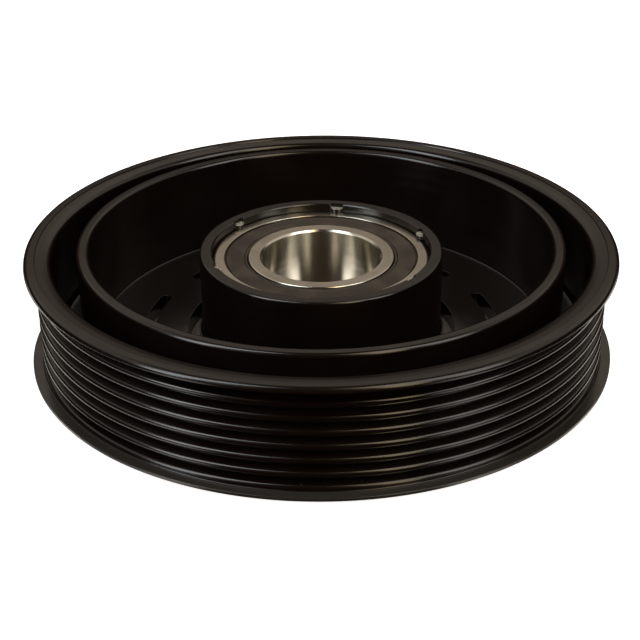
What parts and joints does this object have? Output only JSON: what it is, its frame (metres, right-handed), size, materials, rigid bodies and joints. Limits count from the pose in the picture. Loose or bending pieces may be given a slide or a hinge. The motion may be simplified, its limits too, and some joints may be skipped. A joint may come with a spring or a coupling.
{
  "type": "electromagnetic clutch rotor pulley",
  "caption": "Black grooved belt pulley of an electromagnetic clutch: flanged multi-rib rim, deep open coil cavity with arc slots, and a hub with a sealed double-row ball bearing.",
  "frame": {"origin": "on the spin axis, in the plane of the friction face that the part stands on", "axes": "+Z along the spin axis, from the friction face towards the open coil side"},
  "size_m": [0.148, 0.148, 0.0296],
  "materials": {
    "rotor_steel": "black satin e-coat",
    "rim_steel": "black satin e-coat",
    "race_steel": "ground bearing steel",
    "ball_steel": "polished bearing steel",
    "seal_rubber": "matt moulded rubber",
    "seal_core_steel": "pressed sheet steel",
    "cage_nylon": "moulded natural nylon"
  },
  "bodies": {
    "inner_race": {"bearing_inner_race": "race_steel"},
    "pulley": {"rotor": "rotor_steel", "pulley_rim": "rim_steel", "bearing_outer_race": "race_steel", "rear_seal": "seal_rubber", "rear_seal_core": "seal_core_steel", "front_seal": "seal_rubber", "front_seal_core": "seal_core_steel"},
    "rear_cage": {"rear_cage": "cage_nylon"},
    "front_cage": {"front_cage": "cage_nylon"},
    "rear_ball_01": {"rear_ball_01": "ball_steel"},
    "rear_ball_02": {"rear_ball_02": "ball_steel"},
    "rear_ball_03": {"rear_ball_03": "ball_steel"},
    "rear_ball_04": {"rear_ball_04": "ball_steel"},
    "rear_ball_05": {"rear_ball_05": "ball_steel"},
    "rear_ball_06": {"rear_ball_06": "ball_steel"},
    "rear_ball_07": {"rear_ball_07": "ball_steel"},
    "rear_ball_08": {"rear_ball_08": "ball_steel"},
    "rear_ball_09": {"rear_ball_09": "ball_steel"},
    "rear_ball_10": {"rear_ball_10": "ball_steel"},
    "rear_ball_11": {"rear_ball_11": "ball_steel"},
    "rear_ball_12": {"rear_ball_12": "ball_steel"},
    "rear_ball_13": {"rear_ball_13": "ball_steel"},
    "rear_ball_14": {"rear_ball_14": "ball_steel"},
    "front_ball_01": {"front_ball_01": "ball_steel"},
    "front_ball_02": {"front_ball_02": "ball_steel"},
    "front_ball_03": {"front_ball_03": "ball_steel"},
    "front_ball_04": {"front_ball_04": "ball_steel"},
    "front_ball_05": {"front_ball_05": "ball_steel"},
    "front_ball_06": {"front_ball_06": "ball_steel"},
    "front_ball_07": {"front_ball_07": "ball_steel"},
    "front_ball_08": {"front_ball_08": "ball_steel"},
    "front_ball_09": {"front_ball_09": "ball_steel"},
    "front_ball_10": {"front_ball_10": "ball_steel"},
    "front_ball_11": {"front_ball_11": "ball_steel"},
    "front_ball_12": {"front_ball_12": "ball_steel"},
    "front_ball_13": {"front_ball_13": "ball_steel"},
    "front_ball_14": {"front_ball_14": "ball_steel"}
  },
  "joints": [
    {"name": "pulley_spin", "type": "hinge", "parent": "inner_race", "child": "pulley", "pos_m": [0, 0, 0.0129], "axis": [0, 0, 1], "continuous": true},
    {"name": "rear_cage_spin", "type": "hinge", "parent": "inner_race", "child": "rear_cage", "pos_m": [0, 0, 0.01765], "axis": [0, 0, 1], "continuous": true},
    {"name": "front_cage_spin", "type": "hinge", "parent": "inner_race", "child": "front_cage", "pos_m": [0, 0, 0.00815], "axis": [0, 0, 1], "continuous": true},
    {"name": "rear_ball_01_roll", "type": "hinge", "parent": "rear_cage", "child": "rear_ball_01", "pos_m": [0.02143, 0, 0.01765], "axis": [0, 0, 1], "continuous": true},
    {"name": "rear_ball_02_roll", "type": "hinge", "parent": "rear_cage", "child": "rear_ball_02", "pos_m": [0.01931, 0.0093, 0.01765], "axis": [0, 0, 1], "continuous": true},
    {"name": "rear_ball_03_roll", "type": "hinge", "parent": "rear_cage", "child": "rear_ball_03", "pos_m": [0.01336, 0.01675, 0.01765], "axis": [0, 0, 1], "continuous": true},
    {"name": "rear_ball_04_roll", "type": "hinge", "parent": "rear_cage", "child": "rear_ball_04", "pos_m": [0.00477, 0.02089, 0.01765], "axis": [0, 0, 1], "continuous": true},
    {"name": "rear_ball_05_roll", "type": "hinge", "parent": "rear_cage", "child": "rear_ball_05", "pos_m": [-0.00477, 0.02089, 0.01765], "axis": [0, 0, 1], "continuous": true},
    {"name": "rear_ball_06_roll", "type": "hinge", "parent": "rear_cage", "child": "rear_ball_06", "pos_m": [-0.01336, 0.01675, 0.01765], "axis": [0, 0, 1], "continuous": true},
    {"name": "rear_ball_07_roll", "type": "hinge", "parent": "rear_cage", "child": "rear_ball_07", "pos_m": [-0.01931, 0.0093, 0.01765], "axis": [0, 0, 1], "continuous": true},
    {"name": "rear_ball_08_roll", "type": "hinge", "parent": "rear_cage", "child": "rear_ball_08", "pos_m": [-0.02143, 0, 0.01765], "axis": [0, 0, 1], "continuous": true},
    {"name": "rear_ball_09_roll", "type": "hinge", "parent": "rear_cage", "child": "rear_ball_09", "pos_m": [-0.01931, -0.0093, 0.01765], "axis": [0, 0, 1], "continuous": true},
    {"name": "rear_ball_10_roll", "type": "hinge", "parent": "rear_cage", "child": "rear_ball_10", "pos_m": [-0.01336, -0.01675, 0.01765], "axis": [0, 0, 1], "continuous": true},
    {"name": "rear_ball_11_roll", "type": "hinge", "parent": "rear_cage", "child": "rear_ball_11", "pos_m": [-0.00477, -0.02089, 0.01765], "axis": [0, 0, 1], "continuous": true},
    {"name": "rear_ball_12_roll", "type": "hinge", "parent": "rear_cage", "child": "rear_ball_12", "pos_m": [0.00477, -0.02089, 0.01765], "axis": [0, 0, 1], "continuous": true},
    {"name": "rear_ball_13_roll", "type": "hinge", "parent": "rear_cage", "child": "rear_ball_13", "pos_m": [0.01336, -0.01675, 0.01765], "axis": [0, 0, 1], "continuous": true},
    {"name": "rear_ball_14_roll", "type": "hinge", "parent": "rear_cage", "child": "rear_ball_14", "pos_m": [0.01931, -0.0093, 0.01765], "axis": [0, 0, 1], "continuous": true},
    {"name": "front_ball_01_roll", "type": "hinge", "parent": "front_cage", "child": "front_ball_01", "pos_m": [0.02089, 0.00477, 0.00815], "axis": [0, 0, 1], "continuous": true},
    {"name": "front_ball_02_roll", "type": "hinge", "parent": "front_cage", "child": "front_ball_02", "pos_m": [0.01675, 0.01336, 0.00815], "axis": [0, 0, 1], "continuous": true},
    {"name": "front_ball_03_roll", "type": "hinge", "parent": "front_cage", "child": "front_ball_03", "pos_m": [0.0093, 0.01931, 0.00815], "axis": [0, 0, 1], "continuous": true},
    {"name": "front_ball_04_roll", "type": "hinge", "parent": "front_cage", "child": "front_ball_04", "pos_m": [0, 0.02143, 0.00815], "axis": [0, 0, 1], "continuous": true},
    {"name": "front_ball_05_roll", "type": "hinge", "parent": "front_cage", "child": "front_ball_05", "pos_m": [-0.0093, 0.01931, 0.00815], "axis": [0, 0, 1], "continuous": true},
    {"name": "front_ball_06_roll", "type": "hinge", "parent": "front_cage", "child": "front_ball_06", "pos_m": [-0.01675, 0.01336, 0.00815], "axis": [0, 0, 1], "continuous": true},
    {"name": "front_ball_07_roll", "type": "hinge", "parent": "front_cage", "child": "front_ball_07", "pos_m": [-0.02089, 0.00477, 0.00815], "axis": [0, 0, 1], "continuous": true},
    {"name": "front_ball_08_roll", "type": "hinge", "parent": "front_cage", "child": "front_ball_08", "pos_m": [-0.02089, -0.00477, 0.00815], "axis": [0, 0, 1], "continuous": true},
    {"name": "front_ball_09_roll", "type": "hinge", "parent": "front_cage", "child": "front_ball_09", "pos_m": [-0.01675, -0.01336, 0.00815], "axis": [0, 0, 1], "continuous": true},
    {"name": "front_ball_10_roll", "type": "hinge", "parent": "front_cage", "child": "front_ball_10", "pos_m": [-0.0093, -0.01931, 0.00815], "axis": [0, 0, 1], "continuous": true},
    {"name": "front_ball_11_roll", "type": "hinge", "parent": "front_cage", "child": "front_ball_11", "pos_m": [0, -0.02143, 0.00815], "axis": [0, 0, 1], "continuous": true},
    {"name": "front_ball_12_roll", "type": "hinge", "parent": "front_cage", "child": "front_ball_12", "pos_m": [0.0093, -0.01931, 0.00815], "axis": [0, 0, 1], "continuous": true},
    {"name": "front_ball_13_roll", "type": "hinge", "parent": "front_cage", "child": "front_ball_13", "pos_m": [0.01675, -0.01336, 0.00815], "axis": [0, 0, 1], "continuous": true},
    {"name": "front_ball_14_roll", "type": "hinge", "parent": "front_cage", "child": "front_ball_14", "pos_m": [0.02089, -0.00477, 0.00815], "axis": [0, 0, 1], "continuous": true}
  ],
  "couplings": [
    {"joint": "rear_cage_spin", "follows": "pulley_spin", "ratio": 0.58334},
    {"joint": "front_cage_spin", "follows": "pulley_spin", "ratio": 0.58334},
    {"joint": "rear_ball_01_roll", "follows": "pulley_spin", "ratio": 2.9164},
    {"joint": "rear_ball_02_roll", "follows": "pulley_spin", "ratio": 2.9164},
    {"joint": "rear_ball_03_roll", "follows": "pulley_spin", "ratio": 2.9164},
    {"joint": "rear_ball_04_roll", "follows": "pulley_spin", "ratio": 2.9164},
    {"joint": "rear_ball_05_roll", "follows": "pulley_spin", "ratio": 2.9164},
    {"joint": "rear_ball_06_roll", "follows": "pulley_spin", "ratio": 2.9164},
    {"joint": "rear_ball_07_roll", "follows": "pulley_spin", "ratio": 2.9164},
    {"joint": "rear_ball_08_roll", "follows": "pulley_spin", "ratio": 2.9164},
    {"joint": "rear_ball_09_roll", "follows": "pulley_spin", "ratio": 2.9164},
    {"joint": "rear_ball_10_roll", "follows": "pulley_spin", "ratio": 2.9164},
    {"joint": "rear_ball_11_roll", "follows": "pulley_spin", "ratio": 2.9164},
    {"joint": "rear_ball_12_roll", "follows": "pulley_spin", "ratio": 2.9164},
    {"joint": "rear_ball_13_roll", "follows": "pulley_spin", "ratio": 2.9164},
    {"joint": "rear_ball_14_roll", "follows": "pulley_spin", "ratio": 2.9164},
    {"joint": "front_ball_01_roll", "follows": "pulley_spin", "ratio": 2.9164},
    {"joint": "front_ball_02_roll", "follows": "pulley_spin", "ratio": 2.9164},
    {"joint": "front_ball_03_roll", "follows": "pulley_spin", "ratio": 2.9164},
    {"joint": "front_ball_04_roll", "follows": "pulley_spin", "ratio": 2.9164},
    {"joint": "front_ball_05_roll", "follows": "pulley_spin", "ratio": 2.9164},
    {"joint": "front_ball_06_roll", "follows": "pulley_spin", "ratio": 2.9164},
    {"joint": "front_ball_07_roll", "follows": "pulley_spin", "ratio": 2.9164},
    {"joint": "front_ball_08_roll", "follows": "pulley_spin", "ratio": 2.9164},
    {"joint": "front_ball_09_roll", "follows": "pulley_spin", "ratio": 2.9164},
    {"joint": "front_ball_10_roll", "follows": "pulley_spin", "ratio": 2.9164},
    {"joint": "front_ball_11_roll", "follows": "pulley_spin", "ratio": 2.9164},
    {"joint": "front_ball_12_roll", "follows": "pulley_spin", "ratio": 2.9164},
    {"joint": "front_ball_13_roll", "follows": "pulley_spin", "ratio": 2.9164},
    {"joint": "front_ball_14_roll", "follows": "pulley_spin", "ratio": 2.9164}
  ]
}
